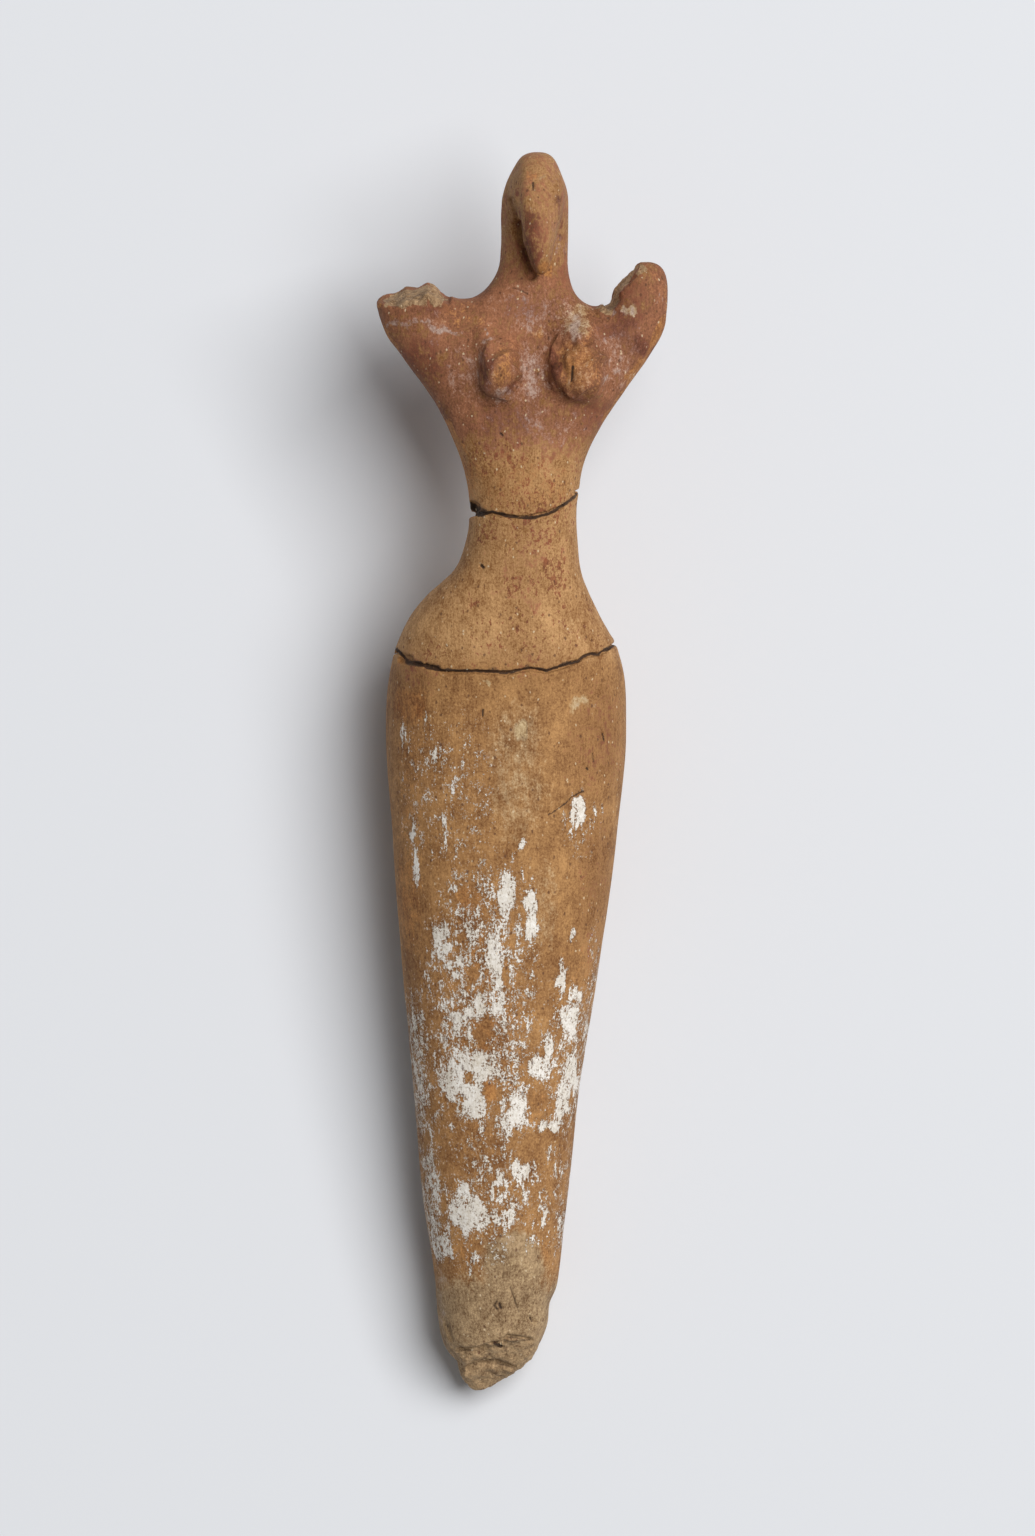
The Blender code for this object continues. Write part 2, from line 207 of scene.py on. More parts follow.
# Gives an object an even mesh, with cells of one size
def remeshed(piece, voxel):
    merge = piece.modifiers.new("Merge loose triangles", "WELD")
    merge.merge_threshold = body["mergeDistance"]
    remesh = piece.modifiers.new("Even mesh", "REMESH")
    remesh.mode = "VOXEL"
    remesh.voxel_size = voxel
    applyModifiers(piece)


def clayBody():
    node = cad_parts["female_figure"]
    piece = bpy.data.objects.new("mended_clay_figure", node.data.copy())
    bpy.context.scene.collection.objects.link(piece)
    # a sound core behind the mended breaks, so that no light comes through them at the sides
    core = bpy.data.objects.new("core", node.data.copy())
    bpy.context.scene.collection.objects.link(core)
    remeshed(core, body["coreVoxel"])
    points, normals = meshArrays(core.data)
    core.data.vertices.foreach_set("co", (points - body["coreInset"] * normals).ravel())
    both = bmesh.new()
    both.from_mesh(piece.data)
    both.from_mesh(core.data)
    both.to_mesh(piece.data)
    both.free()
    bpy.data.objects.remove(core)
    remeshed(piece, body["voxel"])
    points, normals = meshArrays(piece.data)
    ends = edgeEnds(piece.data)
    turn = np.degrees(np.arccos(np.clip((normals[ends[:, 0]] * normals[ends[:, 1]]).sum(axis=1), -1, 1)))
    sharp = np.zeros(len(points))
    for side in (0, 1):
        np.maximum.at(sharp, ends[:, side], (turn > body["sharpTurn"]).astype(float))
    for _ in range(body["sharpSpread"]):
        wider = sharp.copy()
        np.maximum.at(wider, ends[:, 0], sharp[ends[:, 1]])
        np.maximum.at(wider, ends[:, 1], sharp[ends[:, 0]])
        sharp = wider
    soft = np.clip(1 - 2 * spread(sharp, ends, body["sharpFade"]), 0, 1)
    for _ in range(body["facetSmoothing"]):
        moved = np.stack([spread(points[:, k], ends, 1) for k in range(3)], axis=1)
        points = points + soft[:, None] * (moved - points)
    piece.data.vertices.foreach_set("co", points.ravel())
    piece.data.update()
    print("clay body", len(points), "points,", int(sharp.sum()), "of them at a break")
    return piece


# White paint that is left on the clay, in pixels: left, right, top, bottom, strength and sometimes a turn
whitePaint = {
    "hips": [
        (423, 429, 712, 720, 1), (402, 406, 724, 738, .9), (408, 412, 744, 753, .9),
        (413, 416, 756, 768, .8), (423, 437, 731, 744, .45), (431, 437, 744, 765, 1),
        (448, 452, 747, 751, .7), (441, 445, 750, 765, .6), (473, 477, 734, 740, .5),
        (461, 466, 757, 766, .7), (401, 404, 776, 784, .7), (443, 458, 773, 795, .5),
        (450, 455, 786, 794, 1), (450, 456, 800, 810, .5), (460, 464, 802, 810, .7),
        (412, 419, 813, 881, .7), (411, 420, 827, 845, .95), (411, 421, 858, 877, .95),
        (442, 446, 818, 831, .75), (444, 449, 830, 845, .75), (443, 447, 857, 863, .6),
        (495, 498, 811, 829, .7),
    ],
    "right of the middle": [
        (571, 587, 800, 824, 1, 20), (559, 568, 808, 829, .6), (551, 556, 829, 834, .45),
        (569, 573, 830, 842, .7), (575, 579, 828, 834, .7), (586, 591, 824, 830, .6),
        (593, 599, 806, 815, .9), (518, 525, 832, 850, 1, 28), (514, 520, 856, 864, .7),
        (524, 527, 855, 861, .7), (518, 524, 872, 881, .7), (567, 576, 929, 941, 1),
        (560, 566, 962, 990, .95), (532, 535, 970, 978, .6), (565, 580, 989, 1001, 1),
        (559, 581, 1002, 1045, 1), (543, 553, 1033, 1059, 1), (530, 556, 1057, 1080, 1),
        (562, 577, 1052, 1091, .95), (556, 569, 1078, 1122, 1), (538, 562, 1120, 1135, 1),
        (532, 537, 1117, 1125, .9), (582, 590, 1005, 1070, .7), (571, 581, 1069, 1109, .7),
    ],
    "middle": [
        (475, 493, 864, 898, .65), (496, 516, 867, 922, 1), (523, 537, 882, 950, 1),
        (514, 520, 942, 956, .8), (448, 453, 880, 898, .8), (456, 465, 874, 891, .6),
        (467, 481, 904, 918, .6), (486, 506, 922, 1007, .95), (431, 451, 920, 960, .9),
        (463, 481, 918, 974, .75), (452, 455, 926, 1007, .9), (423, 432, 964, 988, .6),
        (438, 449, 977, 991, .6), (467, 479, 980, 993, .6), (463, 506, 1000, 1016, 1),
        (447, 465, 1013, 1032, 1), (494, 512, 1018, 1035, .65), (522, 532, 1005, 1035, .65),
        (466, 482, 1034, 1045, 1), (441, 449, 1032, 1046, .6), (439, 499, 1052, 1091, 1),
        (441, 483, 1069, 1100, 1), (463, 489, 1094, 1122, 1), (456, 468, 1106, 1118, .6),
        (499, 528, 1036, 1091, .62), (509, 529, 1088, 1130, 1), (493, 512, 1102, 1147, .65),
        (493, 502, 1089, 1096, .8),
    ],
    "left edge": [
        (408, 417, 1002, 1038, .75), (413, 428, 1036, 1122, .72), (427, 440, 1120, 1139, .75),
        (430, 434, 1139, 1149, .8), (424, 434, 1145, 1172, .8), (431, 439, 1180, 1214, .8),
        (429, 452, 1231, 1261, .75), (435, 441, 1111, 1119, .7), (447, 453, 1120, 1128, .7),
    ],
    "shins": [
        (479, 485, 1126, 1134, .7), (477, 485, 1139, 1158, .5), (501, 509, 1145, 1160, .5),
        (510, 530, 1161, 1183, 1), (523, 529, 1180, 1198, .9, -30), (535, 541, 1191, 1199, .8),
        (550, 556, 1147, 1157, .8), (554, 560, 1160, 1174, 1), (539, 545, 1160, 1172, .5),
        (471, 479, 1159, 1169, .7), (485, 493, 1163, 1173, 1), (493, 499, 1169, 1177, .8),
        (468, 474, 1167, 1175, .7), (458, 467, 1183, 1197, 1), (445, 451, 1193, 1199, .8),
        (488, 508, 1180, 1201, .95), (475, 478, 1181, 1198, .7), (448, 490, 1198, 1230, 1),
        (488, 506, 1209, 1229, .95), (504, 518, 1209, 1227, 1), (518, 529, 1218, 1227, .65),
        (541, 546, 1200, 1225, .95), (532, 537, 1222, 1230, .8), (463, 475, 1228, 1239, 1),
        (527, 541, 1235, 1243, .7), (542, 547, 1240, 1253, .8), (523, 529, 1249, 1255, .7),
        (471, 479, 1254, 1264, .9), (469, 475, 1264, 1272, .7), (557, 566, 1209, 1250, .65),
    ],
    "thin remains between them": [
        (428, 536, 868, 1150, .54), (442, 545, 1150, 1236, .42), (402, 428, 985, 1150, .6),
        (420, 442, 1140, 1262, .62), (540, 592, 985, 1135, .46), (398, 500, 715, 870, .3),
        (430, 520, 1230, 1275, .3), (560, 600, 790, 860, .3), (586, 602, 920, 1120, .42),
        (540, 580, 1130, 1262, .34),
    ],
}
# Places inside the paint where the clay shows through
paintHoles = [
    (465, 477, 968, 981, 1), (484, 490, 970, 979, .9), (508, 515, 935, 947, .9), (454, 468, 891, 904, .9),
    (472, 479, 896, 904, .9), (470, 476, 950, 958, .9), (455, 461, 937, 945, .9),
    (477, 491, 1019, 1043, 1, 25), (463, 474, 1070, 1084, .8), (482, 503, 1083, 1102, 1),
    (495, 501, 1187, 1194, 1), (548, 556, 1064, 1074, .8), (543, 550, 1010, 1024, .6),
    (505, 512, 958, 998, .7),
]
# Other marks, in pixels. Spots: left, right, top, bottom, strength, turn. Lines: half width, strength, points
marks = {
    "bloomSpots": [
        (488, 524, 388, 404, .6), (520, 547, 342, 402, .55), (478, 498, 335, 345, .7),
        (451, 469, 349, 361, .6), (569, 582, 309, 343, .85), (552, 567, 236, 258, .6),
        (627, 638, 304, 315, .9), (655, 660, 298, 302, .9), (547, 550, 176, 180, .9),
        (548, 551, 230, 234, .8), (568, 594, 695, 710, .35, -25), (490, 600, 285, 340, .48),
        (440, 500, 335, 410, .45), (590, 650, 318, 400, .42), (470, 600, 392, 450, .42),
        (515, 552, 330, 420, .6), (395, 450, 300, 345, .35), (430, 447, 1262, 1345, .5),
        (560, 600, 340, 396, .35), (490, 530, 1190, 1260, .3),
    ],
    "bloomLines": [
        (2.6, .8, (392, 323), (420, 324), (443, 331), (461, 335)), (1.4, .8, (606, 314), (621, 310.5)),
        (1.3, .7, (648.6, 309), (648.6, 315)), (1.3, .7, (598.6, 383), (618, 372)),
        (1.6, .9, (537, 362), (539, 366)), (1.4, .9, (486, 328), (488, 332)),
        (1.2, .6, (479.6, 754), (499, 750)), (1.0, .8, (531.6, 201), (531.6, 208)),
    ],
    "orangeSpots": [
        (491, 517, 346, 394, .62), (553, 602, 336, 398, .7), (530, 542, 325, 337, .7),
        (475, 487, 313, 325, .6), (408, 432, 358, 382, .6), (536, 554, 262, 276, .9),
        (390, 430, 686, 724, .7), (383, 400, 312, 345, .5), (630, 662, 268, 300, .4),
        (440, 600, 445, 520, .5), (395, 430, 690, 900, .5), (560, 610, 930, 1010, .4),
        (482, 503, 1083, 1102, .9), (500, 560, 1085, 1130, .5), (448, 490, 880, 920, .6),
        (560, 600, 300, 345, .55), (395, 425, 840, 960, .7), (515, 550, 155, 185, .4),
        (420, 480, 300, 330, .45), (600, 640, 690, 800, .35), (425, 540, 870, 1150, .5),
        (440, 480, 1232, 1262, .5), (535, 556, 1232, 1275, .55),
    ],
    "orangeLines": [
        (6, .9, (665, 322), (655, 350), (631, 385), (606, 422), (596, 446)),
        (5, .85, (386, 330), (404, 362), (436, 410)), (5, .8, (445, 420), (463, 460), (470, 492)),
        (4, .7, (380, 300), (379, 318), (388, 338)), (4, .6, (667, 285), (668, 318)),
    ],
    "redSpots": [
        (512, 558, 190, 272, .74), (470, 600, 440, 480, .6), (395, 450, 655, 680, .6),
        (490, 560, 540, 620, .6),
    ],
    # where the slip is thick, dark and a little purple, and painted shade on the breasts' left flanks, which
    # face away from the light
    "stainAndShadeSpots": [
        (396, 446, 335, 392, .62), (481, 492, 348, 394, .85), (504, 515, 382, 396, .7),
        (551, 558, 338, 394, .85), (630, 652, 336, 356, .9), (600, 628, 322, 342, .6),
        (418, 446, 300, 318, .6), (500, 548, 296, 322, .5), (521, 537, 206, 232, .75),
        (553, 562, 193, 206, .75), (518, 546, 232, 268, .58), (512, 526, 190, 250, .4),
        (568, 612, 392, 430, .5), (470, 545, 400, 440, .45), (618, 642, 288, 345, .6),
        (512, 522, 176, 200, .5), (556, 566, 205, 262, .45), (500, 560, 500, 560, .32),
        (455, 610, 440, 520, .33), (565, 632, 680, 800, .42), (395, 440, 640, 700, .4),
        (440, 600, 640, 690, .3), (575, 615, 800, 1000, .34), (500, 545, 1290, 1330, .3),
        (560, 600, 250, 300, .4), (625, 650, 268, 330, .45), (385, 420, 300, 330, .4),
    ],
    # small flecks of slip that are left on the waist
    "fleckSpots": [
        (488, 590, 470, 562, .46), (498, 524, 568, 600, .58), (524, 540, 572, 594, .6),
        (541, 568, 548, 600, .62), (552, 568, 598, 615, .55), (582, 600, 600, 622, .5),
        (462, 480, 594, 615, .52), (474, 502, 514, 552, .52), (455, 540, 436, 480, .5),
        (440, 620, 600, 665, .36), (500, 545, 620, 650, .45), (410, 450, 640, 662, .45),
    ],
    # where the bare clay is pale
    "paleSpots": [
        (519, 528, 721, 736, 1), (557, 594, 303, 338, .62), (566, 592, 696, 712, .7, -25),
        (627, 639, 303, 316, .9), (480, 488, 679, 686, .8), (504, 540, 1250, 1290, .45),
        (500, 560, 1300, 1330, .4), (455, 480, 1262, 1330, .35), (470, 560, 1350, 1392, .45),
        (415, 470, 560, 640, .32), (550, 600, 605, 640, .35), (500, 560, 740, 870, .35),
    ],
    "greySpots": [
        (480, 546, 1229, 1300, .95), (400, 600, 1268, 1420, .95), (485, 548, 690, 850, .55),
        (536, 546, 175, 184, .7), (519, 528, 722, 735, 1.6), (530, 560, 850, 960, .5),
        (545, 560, 160, 250, .4),
    ],
    "brokenLines": [
        (6.5, 1, (393, 300), (407, 295), (420, 297), (430, 289), (438, 300)),
        (5.5, .9, (612, 305), (616, 292), (626, 279), (637, 267)), (4, .9, (600, 310), (612, 304)),
    ],
    # cracks, pits and the steps of the foot's break, drawn dark: partly their dark filling and partly painted
    # shade inside them
    "cracks": [
        (1.1, .6, (513, 288), (520, 290), (527, 294.5)),
        (1, .8, (548, 814.6), (562.4, 805), (573, 797), (584, 792)),
        (0.9, .8, (482.5, 710), (482.5, 716)), (0.9, .8, (602, 733), (604, 741)),
        (0.9, .7, (593, 753), (593, 762)), (1.1, .7, (586, 768), (587, 770)),
        (1.1, .9, (533.4, 183), (533.4, 190)), (1.2, 1, (573, 367), (572.5, 381)),
        (0.9, .65, (510, 1286), (513, 1296), (516, 1305), (519.6, 1312)),
        (1.1, .75, (496, 1301), (494, 1305), (497, 1309)), (1.4, 1, (499, 1303), (501, 1308)),
        (1.5, .7, (530, 1318), (532, 1320)), (1.6, .9, (494, 1344), (501, 1346)),
        (1.2, .6, (459, 1350), (478, 1351)), (1.2, .6, (497, 1363), (514, 1368)),
        (1.1, .6, (508, 1337), (530, 1340)), (1, .7, (448, 1325), (449, 1328)),
        (1.6, .9, (481, 566), (483, 568)), (1.2, .8, (500, 433), (502, 436)),
        (1.4, .8, (426, 664), (439, 667)),
    ],
    # the two mended breaks, all the way round, drawn as dark lines: partly the joints' dark filling and
    # partly painted shade inside the gaps
    "seams": [
        (1.6, 1, (453, 514), (478, 514.8), (492.7, 512.3), (512.6, 516.6), (529.9, 517.9), (548.6, 513.5),
         (564.7, 504.2), (579.6, 490.6), (592, 483)),
        (1.5, 1, (378.5, 632), (399.6, 651.9), (410.8, 663.1), (441.8, 670.5), (475.3, 670.5),
         (507.6, 672.4), (529.9, 668), (546.1, 670.5), (577.1, 660.6), (585.8, 655), (599.4, 653.1),
         (616.8, 643.8), (631.7, 634.5)),
        (4, .9, (470, 505), (483, 512)), (3, .9, (408, 662), (420, 665)),
    ],
    "raggedness": 7,               # how far, in pixels, the marks stray from their clean outlines
    "crackRaggedness": 1.4,
    "seamRaggedness": 1.5,
    "strayPatches": (3 * mm, 5 * mm, 3 * mm),
    "mottlePatches": (9 * mm, 22 * mm, 9 * mm),
    # heights between which a layer fades in or out
    "footBreak": (1338, 1352),
    "footBreakWaves": (8, (4 * mm, 4 * mm, 4 * mm)),     # pixels up and down, and the size of the waves
    "slipEnds": (520, 410),
    "neck": (228, 300),            # the slip is thinner on the head, and thickens down the neck
    "headSlip": 0.68,
    "waistSlipEnds": (700, 560),
    "waistSlip": 0.42,
    "ochreStarts": (645, 675),
    "paintStarts": (880, 960),
    "paintEnds": (1262, 1225),
    "greyStarts": (1262, 1285),
    # what lies on the sides and the back, which aren't seen: an even share, and the share of a mottle
    "elsewhere": {
        "paint": (0.2, 0.6), "bloom": (0, 0.4), "orange": (0, 0.45), "stain": (0, 0.5), "flecks": (0, 0.5),
        "pale": (0, 0.3),
    },
}


# What the camera sees gets the photograph's marks, and the rest gets even shares of the same
def paintMarks(piece):
    points, normals = meshArrays(piece.data)
    exact = toPixels(points)
    down = exact[:, 1]
    seen = softStep(*body["facing"], normals[:, 2])
    mottled = 0.5 + 0.5 * unevenness(points, marks["mottlePatches"], 3, octaves=3)
    strays = [unevenness(points, marks["strayPatches"], seed, octaves=4) for seed in (11, 12)]
    shift = np.stack(strays, axis=1)
    pixels = exact + marks["raggedness"] * shift

    def spots(name, edge=0.7):
        return inSpots(pixels, marks[name], edge)

    def both(front, name, where=1):
        even, byMottle = marks["elsewhere"].get(name, (0, 0))
        return front * seen + where * (even + byMottle * mottled) * (1 - seen)

    wave, waveSize = marks["footBreakWaves"]
    footBreak = softStep(*marks["footBreak"], down + wave * unevenness(points, waveSize, 5))
    lowerBody = softStep(*marks["paintStarts"], down) * softStep(*marks["paintEnds"], down)
    belowHead = softStep(*marks["neck"], down)
    slip = softStep(*marks["slipEnds"], down) * (marks["headSlip"] + (1 - marks["headSlip"]) * belowHead)
    slip = np.maximum(slip, marks["waistSlip"] * softStep(*marks["waistSlipEnds"], down))
    paint = inSpots(pixels, sum(whitePaint.values(), []), edge=0.45)
    paint *= 1 - inSpots(pixels, paintHoles, edge=0.4)
    bloom = np.maximum(spots("bloomSpots"), onLines(pixels, marks["bloomLines"]))
    orange = np.maximum(spots("orangeSpots", edge=0.6), onLines(pixels, marks["orangeLines"]))
    # dark lines of the cracks and mended breaks: partly their filling and partly painted shade inside them
    cracks = onLines(exact + marks["crackRaggedness"] * shift, marks["cracks"])
    seams = onLines(exact + marks["seamRaggedness"] * shift, marks["seams"])
    layers = {
        "paint": both(paint, "paint", lowerBody),
        "bloom": both(bloom, "bloom"),
        "orange": both(orange, "orange"),
        "ochre": softStep(*marks["ochreStarts"], down),
        # thick dark slip, and painted shade on the breasts' left flanks
        "stain": both(spots("stainAndShadeSpots"), "stain", slip),
        "flecks": both(spots("fleckSpots"), "flecks", slip),
        "pale": both(spots("paleSpots", edge=0.5), "pale"),
        "slip": np.maximum(slip, both(spots("redSpots", edge=0.6), "slip")),
        "grey": spots("greySpots", edge=0.4) * seen + softStep(*marks["greyStarts"], down) * (1 - seen),
        "broken": np.maximum(onLines(pixels, marks["brokenLines"]), footBreak),
        "crackDarkAndShade": np.maximum(both(cracks, "crackDarkAndShade"), seams),
    }
    for name, values in layers.items():
        layer = piece.data.attributes.new(name, "FLOAT", "POINT")
        layer.data.foreach_set("value", values.astype(np.float32))
    print("marks", {name: round(float(values.mean()), 3) for name, values in layers.items()})


# Real relief: the hand's waves, the tool's strokes, broken clay and cracks
def shapeRelief(piece):
    points, normals = meshArrays(piece.data)
    pixels = toPixels(points)
    down = pixels[:, 1]
    front = softStep(*body["facing"], normals[:, 2])
    low, high, times = body["broadFacing"]
    broadFront = softStep(low, high, spread(normals[:, 2], edgeEnds(piece.data), times))
    points[:, 1] -= body["seamMove"] * onLines(pixels, body["movedSeams"]) * broadFront
    broken = onLines(pixels, marks["brokenLines"])
    broken = np.maximum(broken, softStep(*marks["footBreak"], down))
    rise = np.zeros(len(points))
    for seed, name in enumerate(("handWave", "fingerWave", "toolStroke")):
        rise += body[name][0] * unevenness(points, body[name][1], seed) * (1 - broken)
    rise += body["brokenClay"][0] * unevenness(points, body["brokenClay"][1], 7, octaves=4) * broken
    pinch = 1 - 2 * np.abs(unevenness(points, body["pinchedLump"][1], 9))
    rise += body["pinchedLump"][0] * pinch * inSpots(pixels, body["lumps"], edge=0.3) * front
    rise -= body["crackDepth"] * onLines(pixels, marks["cracks"]) * front
    rise -= body["grooveDepth"] * onLines(pixels, body["grooves"]) * front
    rise += body["fillHeight"] * inSpots(pixels, body["fills"], edge=0.8) * front
    rise -= body["hollowDepth"] * inSpots(pixels, body["hollows"], edge=0.7) * front
    points = points + normals * rise[:, None]
    points = np.clip(points, cadLow, cadHigh)
    piece.data.vertices.foreach_set("co", points.ravel())
    piece.data.update()
    thin = piece.modifiers.new("Under the limit of faces", "DECIMATE")
    thin.ratio = min(1.0, body["faces"] / (2 * len(piece.data.polygons)))
    applyModifiers(piece)
    piece.data.shade_smooth()
    print("relief", len(piece.data.polygons), "faces")


# Adds a node, with its settings, and with its inputs as values or as links from other nodes' sockets
def addNode(tree, kind, inputs=None, **settings):
    node = tree.nodes.new(kind)
    for name, value in settings.items():
        setattr(node, name, value)
    for socket, value in (inputs or {}).items():
        if isinstance(value, bpy.types.NodeSocket):
            tree.links.new(value, node.inputs[socket])
        else:
            node.inputs[socket].default_value = value
    return node


# Low-fired Nile clay, modelled by hand, coated with red slip, burnished and then painted white. It is matt
# and warm, sandy close to, with the tool's strokes running lengthways and thin chalky remains of the paint
clay = {
    # width and length of a pattern's patches, its detail and its roughness
    "patterns": {
        "sand": (0.5 * mm, 0.6 * mm, 3, 0.8),         # sand and chaff, drawn a little coarser than they are
        "fleck": (1.5 * mm, 2.1 * mm, 6, 0.7),        # how the slip has worn off
        "mottle": (4.5 * mm, 7 * mm, 5, 0.62),
        "cloud": (13 * mm, 24 * mm, 3, 0.5),
        "streak": (0.4 * mm, 6 * mm, 4, 0.65),        # strokes of the burnishing tool
        "flake": (1.9 * mm, 3.2 * mm, 8, 0.76),       # how the white paint has flaked off
        "grit": (0.9 * mm, 1.5 * mm, 3, 0.7),         # flecks of slip, and the crumbled edges of a crack
    },
    "tone": {"sand": 1.6, "fleck": 1.0, "mottle": 1.0, "cloud": 0.6, "streak": 0.6},
    "bare": ("#80501F", "#D2A36D"),
    "roughness": 0.8,
    "height": {"sand": 1.0, "streak": 0.5, "flake": 0.4},
    "paintHeight": 0.5,
    "bump": (0.9, 0.18 * mm),     # strength and height
    "present": (0.02, 0.25),      # a layer's noise shows only where its attribute is past this
    # attribute, gain, the patterns that make its edge ragged, from, to, darkest and lightest colour, strength
    "layers": [
        ("ochre", 0.9, {"mottle": 0.8, "fleck": 0.9, "streak": 0.6}, 0.2, 0.85, ("#704319", "#C08E56"), 0.85),
        ("slip", 0.66, {"fleck": 1.3, "mottle": 0.8, "sand": 0.5}, 0.36, 0.62, ("#552715", "#A96A48"), 0.88),
        ("orange", 0.8, {"fleck": 1.3, "sand": 0.6}, 0.3, 0.7, ("#85491C", "#D09452"), 0.85),
        # dark slip, and painted shade on the breasts' left flanks
        ("stain", 1.0, {"fleck": 1.8, "mottle": 0.8, "sand": 1.2}, 0.4, 0.66, ("#3A1A0E", "#8A4A30"), 0.8),
        ("grey", 0.8, {"fleck": 0.9, "sand": 0.6}, 0.3, 0.7, ("#6C5234", "#CFB188"), 0.85),
        ("flecks", 1.0, {"grit": 2.4, "fleck": 1.2}, 0.56, 0.7, ("#5A2712", "#95502C"), 0.8),
        ("pale", 0.9, {"fleck": 0.9, "sand": 0.6}, 0.34, 0.74, ("#A07C4E", "#DCC498"), 0.8),
        ("bloom", 0.85, {"fleck": 1.4, "sand": 0.8, "mottle": 0.9}, 0.3, 0.85, ("#7C5C52", "#C3AFA3"), 0.72),
        ("broken", 0.9, {"fleck": 0.8, "sand": 0.5}, 0.35, 0.6, ("#674B2D", "#D2B085"), 0.85),
        ("paint", 0.78, {"flake": 2.2, "sand": 1.7, "streak": 0.6}, 0.42, 0.62, ("#D6CAB7", "#FFFBF4"), 0.96),
        # cracks and mended breaks: dark filling, and painted shade inside them
        ("crackDarkAndShade", 1.0, {"sand": 1.2, "grit": 0.9}, 0.2, 0.85, ("#1C1008", "#4A2F1A"), 0.95),
    ],
    # size of the cells, size of a speck in its cell, share of the cells that hold one, colour, strength
    "specks": [
        (1.3 * mm, 0.16, 0.16, "#55301A", 0.7),
        (1.0 * mm, 0.15, 0.1, "#E6CFAA", 0.65),
    ],
    "speckWarp": (0.7 * mm, 0.5 * mm),     # keeps the specks from being round: size of its patches, reach
    "speckStretch": 0.7,
    "speckEdge": 1.8,
}


# Adds up noise patterns, each about its mean, to a first value
def addPatterns(tree, noises, weights, first):
    total = first
    for name, weight in weights.items():
        centred = addNode(tree, "ShaderNodeMath", {0: noises[name], 1: 0.5}, operation="SUBTRACT")
        inputs = {0: centred.outputs[0], 1: weight, 2: total}
        total = addNode(tree, "ShaderNodeMath", inputs, operation="MULTIPLY_ADD").outputs[0]
    return total


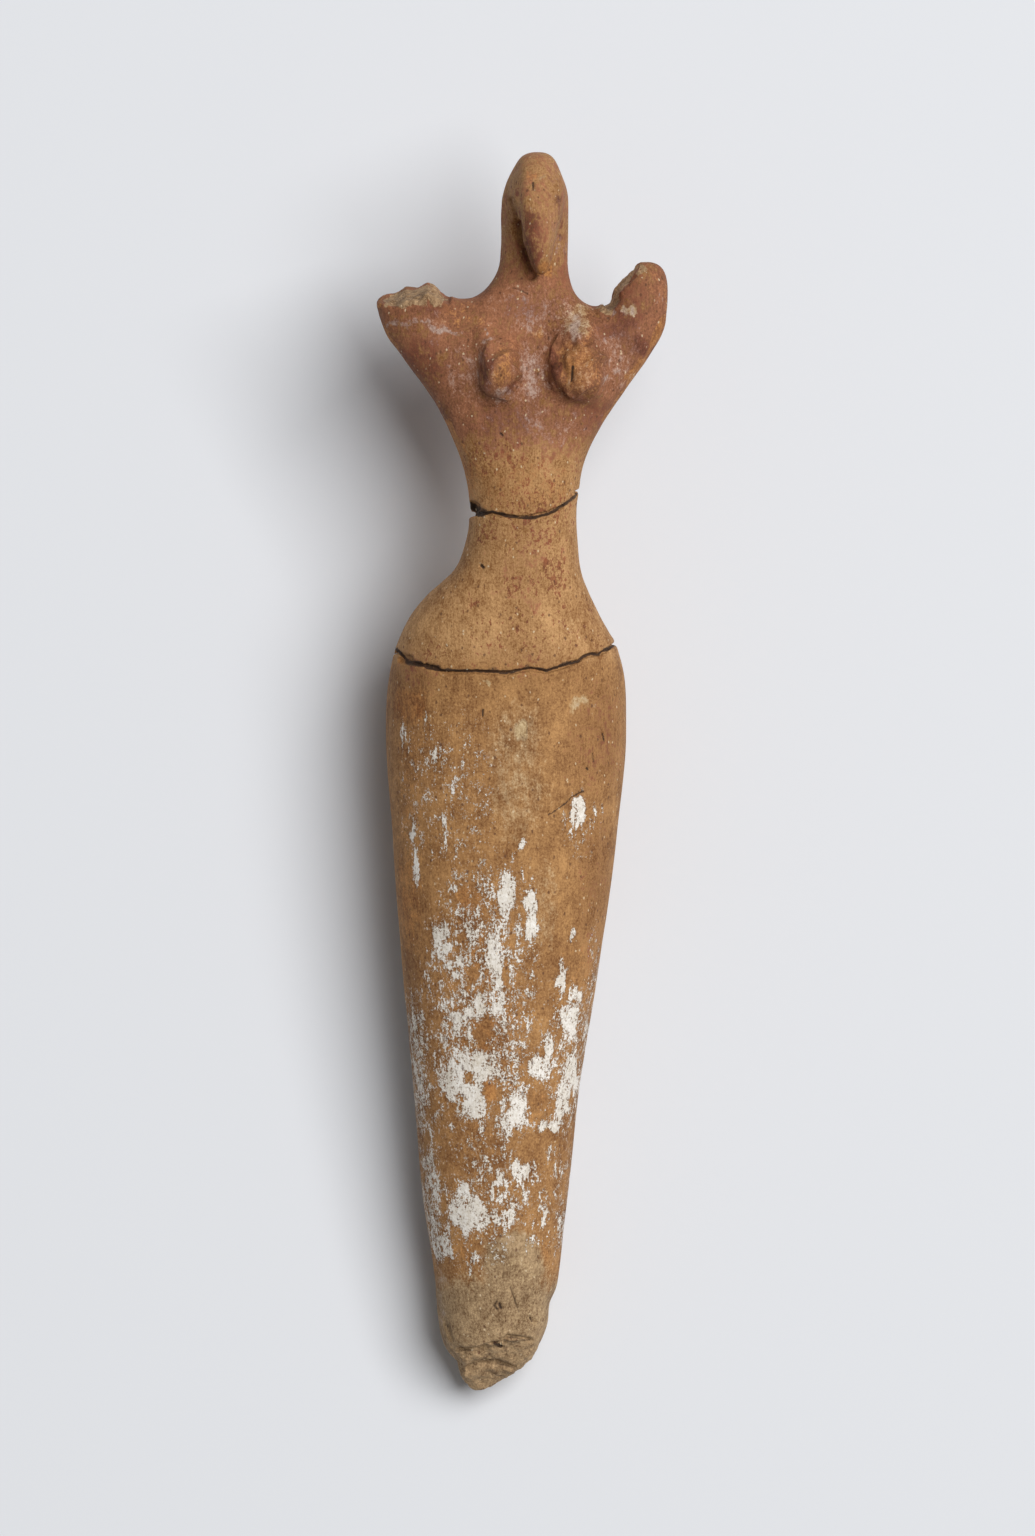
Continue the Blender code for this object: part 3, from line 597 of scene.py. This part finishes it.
def clayMaterial():
    material = bpy.data.materials.new("burnished_nile_clay_with_slip_and_white_paint")
    material.use_nodes = True
    tree = material.node_tree
    tree.nodes.clear()
    place = addNode(tree, "ShaderNodeTexCoord").outputs["Object"]
    noises = {}
    for name, (width, length, detail, roughness) in clay["patterns"].items():
        scaled = addNode(tree, "ShaderNodeMapping", {
            "Vector": place, "Scale": (1 / width, 1 / length, 1 / width)})
        noises[name] = addNode(tree, "ShaderNodeTexNoise", {
            "Vector": scaled.outputs[0], "Scale": 1.0, "Detail": detail, "Roughness": roughness}).outputs[0]
    tone = addPatterns(tree, noises, clay["tone"], 0.5)
    tone = addNode(tree, "ShaderNodeMapRange", {0: tone, 1: 0.1, 2: 0.9}).outputs[0]
    colour = addNode(tree, "ShaderNodeMix", {
        0: tone, 6: linear(clay["bare"][0]), 7: linear(clay["bare"][1])}, data_type="RGBA").outputs[2]
    masks = {}
    for name, gain, weights, low, high, colours, strength in clay["layers"]:
        share = addNode(tree, "ShaderNodeAttribute", attribute_name=name).outputs["Fac"]
        scaled = addNode(tree, "ShaderNodeMath", {0: share, 1: gain}, operation="MULTIPLY").outputs[0]
        ragged = addPatterns(tree, noises, weights, scaled)
        kept = addNode(tree, "ShaderNodeMapRange", {
            0: ragged, 1: low, 2: high, 4: strength}, interpolation_type="SMOOTHSTEP").outputs[0]
        present = addNode(tree, "ShaderNodeMapRange", {
            0: share, 1: clay["present"][0], 2: clay["present"][1]}).outputs[0]
        masks[name] = addNode(tree, "ShaderNodeMath", {0: kept, 1: present}, operation="MULTIPLY").outputs[0]
        coat = addNode(tree, "ShaderNodeMix", {
            0: tone, 6: linear(colours[0]), 7: linear(colours[1])}, data_type="RGBA").outputs[2]
        colour = addNode(tree, "ShaderNodeMix", {
            0: masks[name], 6: colour, 7: coat}, data_type="RGBA").outputs[2]
    warpSize, warpReach = clay["speckWarp"]
    warp = addNode(tree, "ShaderNodeTexNoise", {"Vector": place, "Scale": 1 / warpSize, "Detail": 1.0})
    warped = addNode(tree, "ShaderNodeVectorMath", {
        0: warp.outputs["Color"], 1: (warpReach,) * 3, 2: place}, operation="MULTIPLY_ADD").outputs[0]
    for cell, size, share, speckColour, strength in clay["specks"]:
        scaled = addNode(tree, "ShaderNodeMapping", {
            "Vector": warped, "Scale": (1 / cell, clay["speckStretch"] / cell, 1 / cell)})
        cells = addNode(tree, "ShaderNodeTexVoronoi", {"Vector": scaled.outputs[0], "Scale": 1.0})
        picked = addNode(tree, "ShaderNodeSeparateColor", {0: cells.outputs["Color"]})
        held = addNode(tree, "ShaderNodeMath", {0: picked.outputs[0], 1: share}, operation="LESS_THAN")
        held = addNode(tree, "ShaderNodeMath", {
            0: held.outputs[0], 1: strength}, operation="MULTIPLY").outputs[0]
        spot = addNode(tree, "ShaderNodeMapRange", {
            0: cells.outputs["Distance"], 1: size, 2: size * clay["speckEdge"], 3: 1.0, 4: 0.0}).outputs[0]
        spot = addNode(tree, "ShaderNodeMath", {0: spot, 1: held}, operation="MULTIPLY").outputs[0]
        colour = addNode(tree, "ShaderNodeMix", {
            0: spot, 6: colour, 7: linear(speckColour)}, data_type="RGBA").outputs[2]
    height = addPatterns(tree, noises, clay["height"], 0.5)
    height = addNode(tree, "ShaderNodeMath", {
        0: masks["paint"], 1: clay["paintHeight"], 2: height}, operation="MULTIPLY_ADD").outputs[0]
    bump = addNode(tree, "ShaderNodeBump", {
        "Strength": clay["bump"][0], "Distance": clay["bump"][1], "Height": height})
    shader = addNode(tree, "ShaderNodeBsdfPrincipled", {
        "Base Color": colour, "Roughness": clay["roughness"], "Normal": bump.outputs[0]})
    addNode(tree, "ShaderNodeOutputMaterial", {"Surface": shader.outputs[0]})
    print("clay material", len(tree.nodes), "nodes")
    return material


figure = clayBody()
shapeRelief(figure)
paintMarks(figure)
figure.data.materials.clear()
figure.data.materials.append(clayMaterial())
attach(figure, "root")
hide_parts("female_figure")

# The pale sheet of paper that the figure lies on, which isn't part of it
sheet = {"side": 6.0, "colour": "#E4E6EA", "roughness": 0.9}


def paperSheet():
    half = sheet["side"] / 2
    mesh = bpy.data.meshes.new("pale_sheet")
    corners = [(-half, -half, 0), (half, -half, 0), (half, half, 0), (-half, half, 0)]
    mesh.from_pydata(corners, [], [(0, 1, 2, 3)])
    floor = bpy.data.objects.new("pale_sheet", mesh)
    bpy.context.scene.collection.objects.link(floor)
    floor.location.z = cadLow[2]
    material = bpy.data.materials.new("matt_paper")
    material.use_nodes = True
    shader = material.node_tree.nodes["Principled BSDF"]
    shader.inputs["Base Color"].default_value = linear(sheet["colour"])
    shader.inputs["Roughness"].default_value = sheet["roughness"]
    mesh.materials.append(material)


# One large soft light from the right and a little from the head, and a weak light from all round. The angles
# are in degrees, and the width is the angle that the light covers, seen from the figure
light = {"azimuth": 28, "elevation": 62, "distance": 5, "width": 38, "share": 0.95, "fill": 0.16}


def studioLight():
    turn, rise = math.radians(light["azimuth"]), math.radians(light["elevation"])
    side = 2 * light["distance"] * math.tan(math.radians(light["width"] / 2))
    lamp = bpy.data.lights.new("softbox", "AREA")
    lamp.shape = "SQUARE"
    lamp.size = side
    lamp.energy = light["share"] * (math.pi * light["distance"]) ** 2 / math.sin(rise)
    softbox = bpy.data.objects.new("softbox", lamp)
    bpy.context.scene.collection.objects.link(softbox)
    toLight = Vector((math.cos(turn) * math.cos(rise), math.sin(turn) * math.cos(rise), math.sin(rise)))
    softbox.location = toLight * light["distance"]
    softbox.rotation_euler = toLight.to_track_quat("Z", "Y").to_euler()
    world = bpy.data.worlds.new("studio")
    bpy.context.scene.world = world
    world.use_nodes = True
    world.node_tree.nodes["Background"].inputs["Color"].default_value = (1, 1, 1, 1)
    world.node_tree.nodes["Background"].inputs["Strength"].default_value = light["fill"]
    bpy.context.scene.view_settings.view_transform = "Standard"


def overheadCamera():
    lens = bpy.data.cameras.new("overhead_camera")
    lens.lens = picture["lens"]
    lens.sensor_fit = "VERTICAL"
    lens.sensor_height = picture["sensor"]
    lens.clip_end = 20
    camera = bpy.data.objects.new("overhead_camera", lens)
    bpy.context.scene.collection.objects.link(camera)
    camera.location = cameraPlace
    bpy.context.scene.camera = camera


paperSheet()
studioLight()
overheadCamera()
print("sheet, light and camera")
